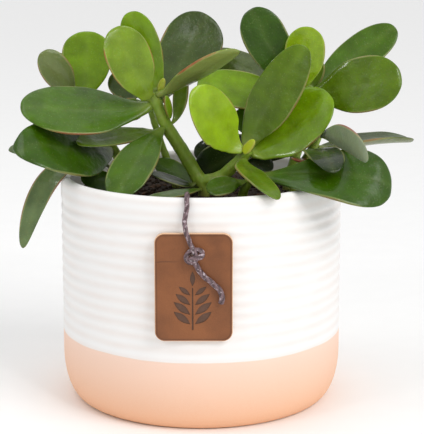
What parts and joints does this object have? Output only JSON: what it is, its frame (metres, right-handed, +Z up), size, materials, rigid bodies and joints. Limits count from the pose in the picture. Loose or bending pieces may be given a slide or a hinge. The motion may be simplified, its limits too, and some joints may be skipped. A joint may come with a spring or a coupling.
{
  "type": "potted jade plant",
  "caption": "Jade plant with thick glossy leaves in a ribbed two-tone stoneware pot, with a leather tag on a knotted cord.",
  "frame": {"origin": "centre of the pot's flat base, on the surface it stands on", "axes": "+Z up along the pot's axis; the tag hangs on the -Y side; +X to the right seen from the tag's side"},
  "size_m": [0.2061, 0.148, 0.1936],
  "materials": {
    "stoneware_glaze": "matte white glaze over a bare peach foot",
    "potting_mix": "dark crumbly potting mix",
    "stem_skin": "smooth green succulent stem",
    "leaf_skin": "waxy glossy succulent leaf with a thin reddish margin",
    "tag_leather": "tan leather, lightly stamped",
    "waxed_cord": "twisted waxed cotton cord"
  },
  "bodies": {
    "root": {"bud_front": "leaf_skin", "bud_side": "leaf_skin", "cord": "waxed_cord", "cord_knot": "waxed_cord", "cord_tail": "waxed_cord", "leaf_back_01": "leaf_skin", "leaf_back_02": "leaf_skin", "leaf_back_03": "leaf_skin", "leaf_back_04": "leaf_skin", "leaf_front_01": "leaf_skin", "leaf_front_02": "leaf_skin", "leaf_front_03": "leaf_skin", "leaf_front_04": "leaf_skin", "leaf_front_05": "leaf_skin", "leaf_front_06": "leaf_skin", "leaf_front_07": "leaf_skin", "leaf_front_08": "leaf_skin", "leaf_front_09": "leaf_skin", "leaf_front_10": "leaf_skin", "leaf_left_01": "leaf_skin", "leaf_left_02": "leaf_skin", "leaf_left_03": "leaf_skin", "leaf_left_04": "leaf_skin", "leaf_left_05": "leaf_skin", "leaf_left_06": "leaf_skin", "leaf_left_07": "leaf_skin", "leaf_left_08": "leaf_skin", "leaf_low_01": "leaf_skin", "leaf_low_02": "leaf_skin", "leaf_outer_01": "leaf_skin", "leaf_outer_02": "leaf_skin", "leaf_outer_03": "leaf_skin", "leaf_outer_04": "leaf_skin", "leaf_right_01": "leaf_skin", "leaf_right_02": "leaf_skin", "leaf_right_03": "leaf_skin", "leaf_right_04": "leaf_skin", "leaf_right_05": "leaf_skin", "leaf_right_06": "leaf_skin", "leaf_right_07": "leaf_skin", "leaf_right_08": "leaf_skin", "leaf_right_09": "leaf_skin", "leaf_right_10": "leaf_skin", "leaf_side_01": "leaf_skin", "leaf_side_02": "leaf_skin", "leaf_side_03": "leaf_skin", "leaf_side_04": "leaf_skin", "leaf_side_05": "leaf_skin", "leaf_side_06": "leaf_skin", "pot": "stoneware_glaze", "shoot_front": "leaf_skin", "soil": "potting_mix", "stem_back": "stem_skin", "stem_front": "stem_skin", "stem_left": "stem_skin", "stem_low": "stem_skin", "stem_outer": "stem_skin", "stem_right": "stem_skin", "tag": "tag_leather"}
  },
  "joints": []
}
